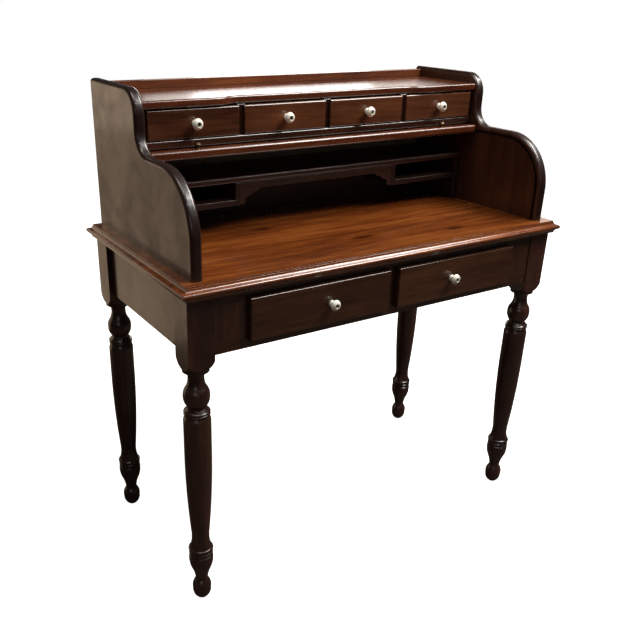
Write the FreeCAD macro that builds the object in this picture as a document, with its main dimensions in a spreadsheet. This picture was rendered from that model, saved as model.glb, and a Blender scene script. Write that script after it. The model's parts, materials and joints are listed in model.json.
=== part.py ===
import FreeCAD, Part
import math
import os
import Sketcher
from types import SimpleNamespace
from FreeCAD import Placement, Rotation, Vector

# Roll top desk on turned legs. Millimetres, +Z up, the front faces -Y.
# The origin is on the floor, in the middle of the desk's width and of its depth over knobs and moulding.

doc = FreeCAD.newDocument("RollTopDesk")


# ---------------------------------------------------------------- driving dimensions

DIMENSIONS = (
    ("overall_depth", 535, "front of the knobs to the back of the moulded top"),
    ("top_width", 990, "desk surface, arris to arris"),
    ("top_depth", 496, "desk surface, arris to arris"),
    ("top_height", 762, "desk surface above the floor"),
    ("top_thick", 29, "desk top"),
    ("moulding_out", 13, "moulded edge, beyond the arris"),
    ("fillet_high", 3, "fillet under the arris of the moulding"),
    ("cove", 7, "radius of the hollow of the moulding"),
    ("nose", 5, "radius of the rounded nose of the moulding"),
    ("undercut", 5, "slope of the moulding under its nose, across"),
    ("undercut_round", 14, "radius of the hollow slope under the nose"),
    ("leg_block", 58.5, "square block at the head of a leg"),
    ("leg_inset_side", 2, "leg block behind the side arris"),
    ("leg_inset_front", 7, "leg block behind the front arris"),
    ("leg_inset_rear", 13, "leg block behind the rear arris"),
    ("block_foot", 609, "underside of the leg block and the aprons"),
    ("shoulder_foot", 579, "foot of the rounded shoulder"),
    ("shoulder_wide", 56, "diameter of the disc under that shoulder"),
    ("vase_neck", 557, "thin neck over the vase"),
    ("vase_neck_wide", 34, "diameter of that neck"),
    ("vase_middle", 519, "widest place of the vase"),
    ("vase_wide", 56, "diameter of the vase"),
    ("vase_foot", 494, "neck under the vase"),
    ("vase_foot_wide", 41, "diameter of that neck"),
    ("ring_high", 6, "height of one ring"),
    ("ring_wide", 56, "diameter of the rings"),
    ("ring_round", 3.5, "radius of the rings' outline"),
    ("ring_notch", 53, "diameter in the notch between the rings"),
    ("ring_groove", 49, "diameter in the groove under the rings"),
    ("shaft_head", 471, "top of the tapered shaft"),
    ("shaft_full", 375, "top of the shaft's taper"),
    ("shaft_wide", 58, "diameter over the taper"),
    ("shaft_bulge", 2250, "radius of the taper's slight bulge"),
    ("shaft_foot", 176, "foot of the shaft's taper"),
    ("shaft_foot_wide", 39, "diameter at the foot of the taper"),
    ("ankle_ring", 132, "underside of the ankle ring"),
    ("ankle_ring_high", 8, "height of the ankle ring"),
    ("ankle_wide", 53.5, "diameter of the bell under the ring"),
    ("bell_waist", 80, "hollow lower part of the bell, up to here"),
    ("bell_waist_wide", 41, "diameter there"),
    ("bell_foot", 54, "foot of the bell"),
    ("bell_foot_wide", 28, "diameter at the foot of the bell"),
    ("foot_middle", 24, "widest place of the ball foot"),
    ("foot_wide", 41.5, "diameter of the ball foot"),
    ("foot_floor_wide", 21, "flat of the foot on the floor"),
    ("board", 19, "aprons, rails and stiles"),
    ("apron_inset", 10, "apron face behind the leg block's face"),
    ("rail_inset", 2, "front rails behind the leg block's face"),
    ("tenon", 20, "length of a tenon"),
    ("tenon_thick", 9, "thickness of a tenon"),
    ("tenon_shoulder", 12, "tenon below and above the edge"),
    ("rail_high", 25, "rail under the desk drawers"),
    ("rail_wide", 60, "depth of that rail"),
    ("opening_high", 76, "height of the desk drawers' openings"),
    ("stile", 40, "stile between the desk drawers"),
    ("opening_wide", 333, "width of one desk drawer's opening"),
    ("drawer_lip", 8, "lip of a desk drawer, past its opening"),
    ("desk_lip_thick", 14, "thickness of that lip"),
    ("knob_aside", 19, "desk drawer's knob, off its middle towards the other drawer"),
    ("lip_round", 4, "rounded edge of a drawer's front"),
    ("fit_gap", 0.4, "clearance between closed drawer and case"),
    ("side_gap", 1, "clearance beside a drawer"),
    ("front_thick", 22, "drawer front with its lip"),
    ("drawer_side", 10, "sides and back of a drawer"),
    ("drawer_bottom", 6, "bottom of a drawer"),
    ("bottom_up", 8, "bottom above the lower edge of the sides"),
    ("bottom_housing", 5, "bottom inside the grooves of the sides"),
    ("desk_drawer_deep", 415, "desk drawer from front to back"),
    ("desk_drawer_high", 70, "sides of a desk drawer"),
    ("runner_wide", 26, "runner under one side of a desk drawer"),
    ("guide_high", 25, "guide beside a desk drawer"),
    ("guide_wide", 20, "thickness of an end guide"),
    ("kicker_wide", 34, "kicker over the desk drawers"),
    ("glue_block", 20, "side of a glue block"),
    ("glue_block_long", 60, "length of a glue block"),
    ("top_screw", 5, "diameter of a screw in the desk top"),
    ("top_screw_head", 10, "diameter of its head"),
    ("top_screw_long", 46, "length of that screw"),
    ("knob_out", 20.6, "knob, out from the drawer front"),
    ("knob_wide", 24, "diameter of a knob"),
    ("knob_foot", 15, "diameter of a knob's foot"),
    ("knob_neck", 10.6, "diameter of a knob's neck"),
    ("knob_recess", 9.4, "diameter of the recess in a knob's face"),
    ("knob_bore", 4.4, "bore through knob and drawer front"),
    ("screw", 3.6, "diameter of a knob's screw"),
    ("screw_head", 7.8, "diameter of that screw's head"),
    ("screw_slot", 1, "width of the slot in a screw"),
    ("nut", 10, "side of the square nut"),
    ("hutch_width", 948, "over the side panels"),
    ("hutch_height", 320, "side panels above the desk surface"),
    ("panel", 24, "thickness of a side panel"),
    ("panel_round", 8, "rounded edge of a side panel"),
    ("crown_front", 239, "front of the panel's upper part, from its back"),
    ("crown_round", 50, "top front corner of a panel"),
    ("step_top", 196.5, "top of the level step, above the desk surface"),
    ("step_cove", 44, "hollow corner over the step"),
    ("nose_round", 124, "large round at the front of a panel"),
    ("nose_front", 478, "front of a panel, from its back"),
    ("groove_inside", 14, "middle of the groove, inside the panel's edge"),
    ("groove_wide", 7, "width of the groove"),
    ("groove_deep", 8, "depth of the groove"),
    ("groove_back", 24, "middle of the groove's rear drop, from the back"),
    ("groove_bend", 50, "rear bend of the groove"),
    ("housing", 6, "boards housed in the side panels"),
    ("back_thick", 12, "back panel"),
    ("crown_board", 17, "thickness of the top board"),
    ("crown_under", 278, "underside of the top board, above the desk surface"),
    ("crown_board_front", 228, "front of the top board at its ends, from the back"),
    ("crown_setback", 14, "middle of the top board, behind its ends"),
    ("setback_start", 225, "start of the curve in the board's edge"),
    ("setback_run", 60, "length of that curve"),
    ("gallery_thick", 20, "gallery rail"),
    ("gallery_high", 18, "gallery rail above the top board"),
    ("case_under", 198, "underside of the case board, above the desk surface"),
    ("case_board", 17, "board under the small drawers"),
    ("case_front", 224, "front of that board, from the back"),
    ("pitch", 224, "spacing of the small drawers"),
    ("divider", 20, "divider between small drawers"),
    ("end_filler", 12, "filler at each end of the row"),
    ("divider_front", 219.6, "front of the dividers, from the back"),
    ("small_lip_thick", 4.6, "thickness of a small drawer's lip"),
    ("small_lip", 4, "lip of a small drawer, past its opening"),
    ("small_front", 225, "front of the small drawers, from the back"),
    ("small_top_gap", 2, "gap over a small drawer's front"),
    ("small_drawer_deep", 195, "small drawer from front to back"),
    ("small_drawer_high", 50, "sides of a small drawer"),
    ("unit_front", 205, "front of the pigeonhole unit, from the back"),
    ("unit_back", 50, "front of the unit's back board, from the back"),
    ("unit_back_thick", 6, "the unit's back board"),
    ("unit_gap", 1, "unit clear of the side panels"),
    ("end_panel", 17, "end panel of the unit"),
    ("shelf_under", 107, "underside of the unit's top shelf, above the desk surface"),
    ("shelf", 15, "the unit's top shelf"),
    ("shelf_round", 5, "rounded front edges of boards"),
    ("hanger_place", 224, "middle of a hanging divider"),
    ("hanger", 12, "thickness of a hanging divider"),
    ("low_shelf_top", 70, "top of the side shelves, above the desk surface"),
    ("low_shelf", 13, "side shelves"),
    ("valance", 9, "thickness of the valance"),
    ("lead_front", 249, "front of the open tambour's lead rail, from the back"),
    ("lead_deep", 35, "lead rail from front to back"),
    ("lead_thick", 18, "lead rail"),
    ("lead_round", 5, "rounded front edges of the lead rail"),
    ("tambour_gap", 0.8, "tambour clear of the side panels"),
    ("tongue_gap", 1, "tongue clear of the groove's bottom"),
    ("tongue_thick", 5.6, "tongue in the groove"),
    ("tongue_wide", 14, "tongue of one slat"),
    ("slat_pitch", 20, "spacing of the slats along the canvas"),
    ("slat_wide", 19.2, "one slat"),
    ("slat_thick", 8, "one slat"),
    ("slat_edge", 3, "thickness at a slat's edges"),
    ("canvas", 0.8, "canvas under the slats"),
    ("pull_wide", 15, "diameter of a tambour pull"),
    ("pull_high", 13, "height of a tambour pull"),
    ("pull_place", 338, "tambour pull, from the middle"),
)

STRAIGHT_SLATS = 7
TAIL_SLATS = 10


class Size:
    """A length that carries both its number and the spreadsheet expression behind it."""

    def __init__(self, number, text):
        self.number = number
        self.text = text

    def joined(self, sign, other, number):
        return Size(number, "(" + self.text + " " + sign + " " + as_size(other).text + ")")

    def __add__(self, other):
        return self.joined("+", other, self.number + as_size(other).number)

    def __sub__(self, other):
        return self.joined("-", other, self.number - as_size(other).number)

    def __mul__(self, other):
        return self.joined("*", other, self.number * as_size(other).number)

    def __truediv__(self, other):
        return self.joined("/", other, self.number / as_size(other).number)

    def __radd__(self, other):
        return as_size(other) + self

    def __rsub__(self, other):
        return as_size(other) - self

    def __rmul__(self, other):
        return as_size(other) * self

    def __neg__(self):
        return as_size(0) - self


def as_size(value):
    """The value as a Size, where a plain number stands for itself."""
    return value if isinstance(value, Size) else Size(value, "(" + str(value) + ")")


def make_sheet():
    """Fill the spreadsheet and return its cells by alias."""
    sheet = doc.addObject("Spreadsheet::Sheet", "Sizes")
    cells = {}
    for row, (alias, number, meaning) in enumerate(DIMENSIONS, 1):
        sheet.set("A" + str(row), alias)
        sheet.set("B" + str(row), str(number))
        sheet.set("C" + str(row), meaning)
        sheet.setAlias("B" + str(row), alias)
        cells[alias] = Size(number, "Sizes." + alias)
    doc.recompute()
    return SimpleNamespace(**cells)


s = make_sheet()
pieces = []


# ---------------------------------------------------------------- building blocks

def bind(item, path, value):
    """Tie one property of a document object to the spreadsheet."""
    item.setExpression(path, as_size(value).text)


def place(item, x, y, z):
    """Put a document object at a place that follows the spreadsheet."""
    for axis, value in zip("xyz", (x, y, z)):
        bind(item, "Placement.Base." + axis, value)
    return item


def piece(item, label):
    """Keep an object as one named sub-part."""
    item.Label = label
    pieces.append(item)
    return item


def slab(name, across, along, up):
    """Rectangular board between two places on each axis."""
    item = doc.addObject("Part::Box", name)
    bind(item, "Length", across[1] - across[0])
    bind(item, "Width", along[1] - along[0])
    bind(item, "Height", up[1] - up[0])
    return place(item, across[0], along[0], up[0])


def rod(name, wide, length, x, y, z, rotation=Rotation()):
    """Round bar, upright unless it is turned."""
    item = doc.addObject("Part::Cylinder", name)
    item.Placement = Placement(Vector(), rotation)
    bind(item, "Radius", wide / 2)
    bind(item, "Height", length)
    return place(item, x, y, z)


FORWARD = Rotation(Vector(1, 0, 0), 90)


def boolean(kind, name, base, tool):
    item = doc.addObject("Part::" + kind, name)
    item.Base = base
    item.Tool = tool
    return item


def group(name, members):
    item = doc.addObject("Part::Compound", name)
    item.Links = members
    return item


def origin_feature(body, role):
    return [item for item in body.Origin.OriginFeatures if item.Role == role][0]


def arc_middle(start, end, radius):
    """A point halfway along the short arc; a positive radius turns counter-clockwise."""
    chord = end - start
    half = chord.Length / 2
    rise = abs(radius) - math.sqrt(max(radius * radius - half * half, 0))
    outward = Vector(chord.y, -chord.x, 0).normalize()
    return (start + end) / 2 + outward * math.copysign(rise, radius)


def outline(sketch, points):
    """Closed outline whose corners and radii all follow the spreadsheet.

    A point is (across, up), or (across, up, radius) where an arc leads to it.
    """
    corners = [Vector(as_size(p[0]).number, as_size(p[1]).number, 0) for p in points]
    geometry = []
    for index, point in enumerate(points):
        start, end = corners[index - 1], corners[index]
        if len(point) == 3:
            middle = arc_middle(start, end, as_size(point[2]).number)
            geometry.append(Part.Arc(start, middle, end))
        else:
            geometry.append(Part.LineSegment(start, end))
    sketch.addGeometry(geometry, False)
    starts_first = [len(p) == 2 or as_size(p[2]).number > 0 for p in points]
    for index, point in enumerate(points):
        head = 2 if starts_first[index] else 1
        following = (index + 1) % len(points)
        tail = 1 if starts_first[following] else 2
        sketch.addConstraint(Sketcher.Constraint("Coincident", index, head, following, tail))
        for kind, value in (("DistanceX", point[0]), ("DistanceY", point[1])):
            number = as_size(value).number
            made = sketch.addConstraint(Sketcher.Constraint(kind, -1, 1, index, head, number))
            name = "corner" + str(index) + kind[-1]
            sketch.renameConstraint(made, name)
            bind(sketch, "Constraints." + name, value)
        if len(point) == 3:
            radius = point[2] if starts_first[index] else -point[2]
            made = sketch.addConstraint(Sketcher.Constraint("Radius", index, as_size(radius).number))
            name = "radius" + str(index)
            sketch.renameConstraint(made, name)
            bind(sketch, "Constraints." + name, radius)


def sketch_body(name, role, points):
    """Body with one closed sketch on an origin plane."""
    body = doc.addObject("PartDesign::Body", name)
    sketch = body.newObject("Sketcher::SketchObject", name + "_outline")
    sketch.AttachmentSupport = [(origin_feature(body, role), "")]
    sketch.MapMode = "FlatFace"
    outline(sketch, points)
    return body, sketch


def prism(name, role, points, reach):
    """Outline on an origin plane, padded between two places on the plane's normal."""
    body, sketch = sketch_body(name, role, points)
    start = -reach[1] if role == "XZ_Plane" else reach[0]
    bind(sketch, "AttachmentOffset.Base.z", start)
    pad = body.newObject("PartDesign::Pad", name + "_pad")
    pad.Profile = sketch
    bind(pad, "Length", reach[1] - reach[0])
    sketch.Visibility = False
    return body


def turned(name, role, axis, points):
    """Outline revolved about one axis of its sketch."""
    body, sketch = sketch_body(name, role, points)
    spin = body.newObject("PartDesign::Revolution", name + "_turning")
    spin.Profile = sketch
    spin.ReferenceAxis = (sketch, [axis])
    spin.Angle = 360
    sketch.Visibility = False
    return body


def rounded(body, radius, wanted):
    """Round the edges of a body whose bounding boxes pass the test."""
    doc.recompute()
    base = body.Tip
    edges = enumerate(base.Shape.Edges, 1)
    names = ["Edge" + str(number) for number, edge in edges if wanted(edge.BoundBox)]
    fillet = body.newObject("PartDesign::Fillet", body.Name + "_round")
    fillet.Base = (base, names)
    bind(fillet, "Radius", radius)
    return body


def near(first, second):
    return abs(first - as_size(second).number) < 0.01


def rectangle(across, up):
    return [(across[0], up[0]), (across[1], up[0]), (across[1], up[1]), (across[0], up[1])]


def mirrored(points, middle):
    """The outline's other half: the points in reverse, across a middle line."""
    turned_back = []
    for index in range(len(points) - 1, -1, -1):
        across, up = points[index][:2]
        arc = points[index + 1][2:] if index + 1 < len(points) else ()
        turned_back.append((2 * middle - across, up) + tuple(arc))
    return turned_back


def front_edges(place_y):
    """Test for the edges that lie in one upright plane across the desk."""
    return lambda box: near(box.YMin, place_y) and near(box.YMax, place_y)


# ---------------------------------------------------------------- places shared by the pieces

arris_rear = s.overall_depth / 2 - s.moulding_out
arris_front = arris_rear - s.top_depth
arris_side = s.top_width / 2
top_under = s.top_height - s.top_thick

leg_out = arris_side - s.leg_inset_side
leg_in = leg_out - s.leg_block
leg_front = arris_front + s.leg_inset_front
leg_rear = arris_rear - s.leg_inset_rear
front_leg_back = leg_front + s.leg_block
rear_leg_front = leg_rear - s.leg_block

rail_face = leg_front + s.rail_inset
rail_back = rail_face + s.board
rail_top = s.block_foot + s.rail_high
opening_top = rail_top + s.opening_high
opening_in = s.stile / 2
opening_out = opening_in + s.opening_wide
rear_apron_front = leg_rear - s.apron_inset - s.board

hutch_out = s.hutch_width / 2
hutch_in = hutch_out - s.panel
panel_top = s.top_height + s.hutch_height
crown_under = s.top_height + s.crown_under
crown_top = crown_under + s.crown_board
back_face = arris_rear - s.back_thick
case_under = s.top_height + s.case_under
case_floor = case_under + s.case_board
groove_level = s.top_height + s.step_top - s.groove_inside


def from_back(distance):
    """Place along the depth, measured forward from the hutch's back."""
    return arris_rear - distance


# ---------------------------------------------------------------- legs and frame

def leg_outline():
    """Half section of a turned leg from the floor to the top of its block.

    Over the block's foot the radius passes the block's corners, so that the square is left whole.
    """
    corner = s.leg_block / 2 * 1.45
    ankle = s.ankle_wide / 2
    ankle_groove = ankle - 2
    groove = s.ring_groove / 2
    ring = s.ring_wide / 2
    notch = s.ring_notch / 2
    ring_foot = s.shaft_head + 1.5
    half_ring = s.ring_high / 2
    second_foot = ring_foot + s.ring_high + 0.5
    vase_foot = s.vase_foot_wide / 2
    cap = s.ankle_ring + s.ankle_ring_high
    return [
        (0, 0),
        (s.foot_floor_wide / 2, 0),
        (s.foot_wide / 2, s.foot_middle, 27),
        (s.bell_foot_wide / 2, s.bell_foot - 4, 30),
        (s.bell_foot_wide / 2, s.bell_foot),
        (s.bell_waist_wide / 2, s.bell_waist, -90),
        (ankle, s.ankle_ring - 14, 70),
        (ankle_groove, s.ankle_ring - 12),
        (ankle_groove, s.ankle_ring - 9),
        (ankle, s.ankle_ring - 7),
        (ankle, s.ankle_ring - 4),
        (ankle_groove, s.ankle_ring - 2),
        (ankle_groove, s.ankle_ring),
        (ankle + 1, s.ankle_ring + s.ankle_ring_high / 2, 5),
        (ankle_groove, cap, 5),
        (s.shaft_foot_wide / 2, s.shaft_foot - 8, -70),
        (s.shaft_foot_wide / 2, s.shaft_foot),
        (s.shaft_wide / 2, s.shaft_full, s.shaft_bulge),
        (s.shaft_wide / 2, s.shaft_head - 14),
        (groove + 1, s.shaft_head, 20),
        (groove, ring_foot),
        (ring, ring_foot + half_ring, s.ring_round),
        (notch, ring_foot + s.ring_high, s.ring_round),
        (notch, second_foot),
        (ring, second_foot + half_ring, s.ring_round),
        (groove, second_foot + s.ring_high, s.ring_round + 2),
        (vase_foot, s.vase_foot - 4),
        (vase_foot, s.vase_foot),
        (s.vase_wide / 2, s.vase_middle, 36),
        (s.vase_wide / 2 - 6, s.vase_middle + 18, 28),
        (s.vase_neck_wide / 2, s.vase_neck, -42),
        (s.vase_neck_wide / 2, s.vase_neck + 3),
        (s.vase_neck_wide / 2 + 2, s.shoulder_foot - 11, -22),
        (s.shoulder_wide / 2, s.shoulder_foot - 6),
        (s.shoulder_wide / 2, s.shoulder_foot),
        (corner, s.block_foot, 36),
        (corner, top_under),
        (0, top_under),
    ]


def tenoned(name, across, along, up, run):
    """Board with a tenon on each end; run names the axis that it spans."""
    board = slab(name + "_board", across, along, up)
    tenon_up = (up[0] + s.tenon_shoulder, up[1] - s.tenon_shoulder)
    if run == "x":
        middle = (along[0] + along[1]) / 2
        along = (middle - s.tenon_thick / 2, middle + s.tenon_thick / 2)
        across = (across[0] - s.tenon, across[1] + s.tenon)
    else:
        middle = (across[0] + across[1]) / 2
        across = (middle - s.tenon_thick / 2, middle + s.tenon_thick / 2)
        along = (along[0] - s.tenon, along[1] + s.tenon)
    tongue = slab(name + "_tenon", across, along, tenon_up)
    return piece(boolean("Fuse", name, board, tongue), name)


def make_frame():
    """Aprons, front rails and stiles, and the four legs mortised for them."""
    high = (s.block_foot, top_under)
    apron_out = leg_out - s.apron_inset
    apron_in = apron_out - s.board
    between = (front_leg_back, rear_leg_front)
    left = tenoned("apron_left", (-apron_out, -apron_in), between, high, "y")
    right = tenoned("apron_right", (apron_in, apron_out), between, high, "y")
    rear_place = (rear_apron_front, rear_apron_front + s.board)
    rear = tenoned("apron_rear", (-leg_in, leg_in), rear_place, high, "x")
    face = (rail_face, rail_back)
    piece(slab("front_top_rail", (-leg_in, leg_in), face, (opening_top, top_under)), "front_top_rail")
    low_rail = slab("front_bottom_rail", (-leg_in, leg_in), (rail_face, rail_face + s.rail_wide),
                    (s.block_foot, rail_top))
    piece(low_rail, "front_bottom_rail")
    openings = (rail_top, opening_top)
    stiles = [
        slab("centre_stile", (-opening_in, opening_in), face, openings),
        slab("left_stile", (-leg_in, -opening_out), face, openings),
        slab("right_stile", (opening_out, leg_in), face, openings),
    ]
    piece(group("front_stiles", stiles), "front_stiles")
    half_block = s.leg_block / 2
    tenons = group("frame_tenons", [left, right, rear])
    for side, sign in (("left", -1), ("right", 1)):
        for end, middle in (("front", leg_front + half_block), ("rear", leg_rear - half_block)):
            name = "leg_" + end + "_" + side
            spindle = turned(name + "_spindle", "XZ_Plane", "V_Axis", leg_outline())
            side_run = (-half_block, half_block)
            square = slab(name + "_square", side_run, side_run, (0, top_under))
            form = boolean("Common", name + "_form", square, spindle)
            place(form, sign * (leg_out - half_block), middle, 0)
            piece(boolean("Cut", name, form, tenons), name)


def make_inner_frame():
    """Runners and guides under the drawers, kickers over them, glue blocks and screws."""
    rail_rear = rail_face + s.rail_wide
    low = (s.block_foot, rail_top)
    run = (rail_rear, rear_apron_front)
    guide_up = (rail_top, rail_top + s.guide_high)
    centre_out = opening_in + s.runner_wide
    end_in = opening_out - s.runner_wide
    end_out = opening_out + s.guide_wide
    parts = [
        (slab("centre_runner", (-centre_out, centre_out), run, low),
         slab("centre_guide", (-opening_in, opening_in), run, guide_up)),
        (slab("left_runner", (-end_out, -end_in), run, low),
         slab("left_guide", (-end_out, -opening_out), run, guide_up)),
        (slab("right_runner", (end_in, end_out), run, low),
         slab("right_guide", (opening_out, end_out), run, guide_up)),
    ]
    runners = [boolean("Fuse", runner.Name + "_and_guide", runner, guide) for runner, guide in parts]
    piece(group("drawer_runners", runners), "drawer_runners")

    kicker_run = (rail_back, rear_apron_front)
    half = s.kicker_wide / 2
    end_middle = opening_out + s.guide_wide / 2
    middles = {"left": -end_middle, "centre": as_size(0), "right": end_middle}
    kickers = []
    screws = []
    reach = rear_apron_front - rail_back
    for side, middle in middles.items():
        across = (middle - half, middle + half)
        kickers.append(slab(side + "_kicker", across, kicker_run, (opening_top, top_under)))
        for number, share in enumerate((0.2, 0.8), 1):
            name = side + "_top_screw_" + str(number)
            y = rail_back + reach * share
            shank = rod(name + "_shank", s.top_screw, s.top_screw_long, middle, y, opening_top)
            head = rod(name + "_head", s.top_screw_head, s.top_screw, middle, y, opening_top)
            screws.append(boolean("Fuse", name, shank, head))
    screw_set = piece(group("top_screws", screws), "top_screws")
    piece(boolean("Cut", "drawer_kickers", group("kicker_bars", kickers), screw_set), "drawer_kickers")

    blocks = []
    apron_in = leg_out - s.apron_inset - s.board
    top = (top_under - s.glue_block, top_under)
    half_long = s.glue_block_long / 2
    side_run = rear_leg_front - front_leg_back
    for side, sign in (("left", -1), ("right", 1)):
        inner = (apron_in - s.glue_block) if sign > 0 else -apron_in
        for number, share in enumerate((0.25, 0.75), 1):
            y = front_leg_back + side_run * share
            blocks.append(slab(side + "_glue_block_" + str(number), (inner, inner + s.glue_block),
                               (y - half_long, y + half_long), top))
        x = sign * leg_in / 2
        blocks.append(slab(side + "_rear_glue_block", (x - half_long, x + half_long),
                           (rear_apron_front - s.glue_block, rear_apron_front), top))
    piece(group("glue_blocks", blocks), "glue_blocks")
    return screw_set


def moulded_edge(arris):
    """Edge of the desk top on its far side, from the underside up to the surface."""
    tip = arris + s.moulding_out
    nose_in = tip - s.nose
    cove_head = s.top_height - s.fillet_high
    cove_foot = cove_head - s.cove
    nose_foot = cove_foot - 2 * s.nose
    return [
        (nose_in - s.undercut, top_under),
        (nose_in, nose_foot, -s.undercut_round),
        (tip, nose_foot + s.nose, s.nose),
        (nose_in, cove_foot, s.nose),
        (nose_in - s.cove, cove_head, -s.cove),
        (arris, cove_head),
        (arris, s.top_height),
    ]


def make_desk_top(screw_set):
    """Board whose moulded edge runs round all four sides and meets in mitres."""
    past = s.moulding_out * 2
    along_x = moulded_edge(arris_side)
    along_y = moulded_edge(arris_rear)
    wide = (-arris_side - past, arris_side + past)
    deep = (arris_front - past, arris_rear + past)
    middle_y = (arris_front + arris_rear) / 2
    ends = prism("top_moulded_at_ends", "XZ_Plane", along_x + mirrored(along_x, 0), deep)
    faces = prism("top_moulded_front_and_rear", "YZ_Plane", along_y + mirrored(along_y, middle_y), wide)
    blank = boolean("Common", "desk_top_blank", ends, faces)
    piece(boolean("Cut", "desk_top", blank, screw_set), "desk_top")


# ---------------------------------------------------------------- drawers

def make_knob(name, x, front, height, nut_face):
    """Glazed knob and the slotted screw and square nut that hold it."""
    out = s.knob_out
    half = s.knob_wide / 2
    foot = s.knob_foot / 2
    neck = s.knob_neck / 2
    recess = s.knob_recess / 2
    bore = s.knob_bore / 2
    recess_floor = -out + 3
    body = turned(name + "_knob", "YZ_Plane", "H_Axis", [
        (0, bore),
        (0, foot),
        (-out * 0.1, foot - 0.8, 2.5),
        (-out * 0.3, neck, -9),
        (-out * 0.4, neck + 1.1, -6),
        (-out * 0.64, half, 10),
        (-out * 0.9, half * 0.74, 9),
        (-out, recess + 0.8, 20),
        (-out + 0.8, recess, 0.8),
        (recess_floor, recess),
        (recess_floor, bore),
    ])
    piece(place(body, x, front, height), name + "_knob")

    head = s.screw_head / 2
    shank = s.screw / 2
    head_out = recess_floor - 2
    screw_end = nut_face + s.nut / 2
    screw = turned(name + "_screw_blank", "YZ_Plane", "H_Axis", [
        (screw_end, 0),
        (screw_end, shank),
        (recess_floor, shank),
        (recess_floor, head),
        (head_out, 0, head * 1.6),
    ])
    slot_half = s.screw_slot / 2
    slot = slab(name + "_slot", (-slot_half, slot_half), (head_out - 1, head_out + 1), (-head, head))
    slotted = place(boolean("Cut", name + "_slotted_screw", screw, slot), x, front, height)
    nut_half = s.nut / 2
    nut_back = front + nut_face + nut_half * 0.8
    nut = slab(name + "_nut_blank", (x - nut_half, x + nut_half), (front + nut_face, nut_back),
               (height - nut_half, height + nut_half))
    hole = rod(name + "_nut_hole", s.screw, s.nut * 2, x, front + nut_face + s.nut, height, FORWARD)
    piece(group(name + "_screw", [slotted, boolean("Cut", name + "_nut", nut, hole)]), name + "_screw")


def make_drawer(name, middle, knob_place, front, opening, floor, face, lip, deep, high, loose_bottom):
    """Drawer with a lipped, rounded front, a box of boards and a knob.

    opening is (width, top) of the place it fills, face the lower and upper edge of its front, and
    lip is (how far it passes the opening, thickness).
    """
    half_lip = opening[0] / 2 + lip[0]
    half_box = opening[0] / 2 - s.side_gap
    lip_back = front + lip[1]
    box_front = front + s.front_thick
    under = floor + s.fit_gap
    lip_body = prism(name + "_lip", "XZ_Plane", rectangle((middle - half_lip, middle + half_lip), face),
                     (front, lip_back))
    rounded(lip_body, s.lip_round, front_edges(front))
    core = slab(name + "_core", (middle - half_box, middle + half_box), (lip_back, box_front),
                (under, opening[1] - s.fit_gap))
    blank = boolean("Fuse", name + "_front_blank", lip_body, core)
    height = (face[0] + face[1]) / 2
    bore_start = box_front + s.front_thick / 2
    bore = rod(name + "_bore", s.knob_bore, s.front_thick * 2, knob_place, bore_start, height, FORWARD)
    piece(boolean("Cut", name + "_front", blank, bore), name + "_front")

    back = front + deep
    inner = half_box - s.drawer_side
    up = (under, under + high)
    boards = [
        slab(name + "_side_left", (middle - half_box, middle - inner), (box_front, back), up),
        slab(name + "_side_right", (middle + inner, middle + half_box), (box_front, back), up),
        slab(name + "_back", (middle - inner, middle + inner), (back - s.drawer_side, back), up),
    ]
    housed = inner + s.bottom_housing
    bottom_level = under + s.bottom_up
    bottom = slab(name + "_bottom_board", (middle - housed, middle + housed),
                  (box_front, back - s.drawer_side + s.bottom_housing),
                  (bottom_level, bottom_level + s.drawer_bottom))
    grooved = boolean("Cut", name + "_boards", group(name + "_uncut_boards", boards), bottom)
    if loose_bottom:
        piece(grooved, name + "_box")
        piece(bottom, name + "_bottom")
    else:
        piece(group(name + "_box_group", [grooved, bottom]), name + "_box")
    make_knob(name, knob_place, front, height, s.front_thick)


def make_drawers():
    """Two wide drawers under the desk top and a row of four small ones in the hutch."""
    desk_front = rail_face - s.fit_gap - s.desk_lip_thick
    desk_face = (rail_top - s.drawer_lip, opening_top + s.drawer_lip)
    desk_lip = (s.drawer_lip, s.desk_lip_thick)
    desk_middle = opening_in + s.opening_wide / 2
    desk_knob = desk_middle - s.knob_aside
    for side, sign in (("left", -1), ("right", 1)):
        make_drawer("desk_drawer_" + side, sign * desk_middle, sign * desk_knob, desk_front,
                    (s.opening_wide, opening_top), rail_top, desk_face, desk_lip,
                    s.desk_drawer_deep, s.desk_drawer_high, True)
    small_front = from_back(s.small_front)
    small_face = (case_floor + s.fit_gap, crown_under - s.small_top_gap)
    small_opening = (s.pitch - s.divider, crown_under - s.small_top_gap + s.fit_gap)
    small_lip = (s.small_lip, s.small_lip_thick)
    for number in range(1, 5):
        small_middle = (number - 2.5) * s.pitch
        make_drawer("small_drawer_" + str(number), small_middle, small_middle, small_front,
                    small_opening, case_floor, small_face, small_lip,
                    s.small_drawer_deep, s.small_drawer_high, False)


# ---------------------------------------------------------------- hutch

def panel_outline():
    """Side panel seen from its right: level crown, hollow step, and a large round down to the desk."""
    crown_front = from_back(s.crown_front)
    step = s.top_height + s.step_top
    nose = from_back(s.nose_front)
    return [
        (arris_rear, s.top_height),
        (arris_rear, panel_top),
        (crown_front + s.crown_round, panel_top),
        (crown_front, panel_top - s.crown_round, s.crown_round),
        (crown_front, step + s.step_cove),
        (crown_front - s.step_cove, step, -s.step_cove),
        (nose + s.nose_round, step),
        (nose, step - s.nose_round, s.nose_round),
        (nose, s.top_height),
    ]


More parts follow.
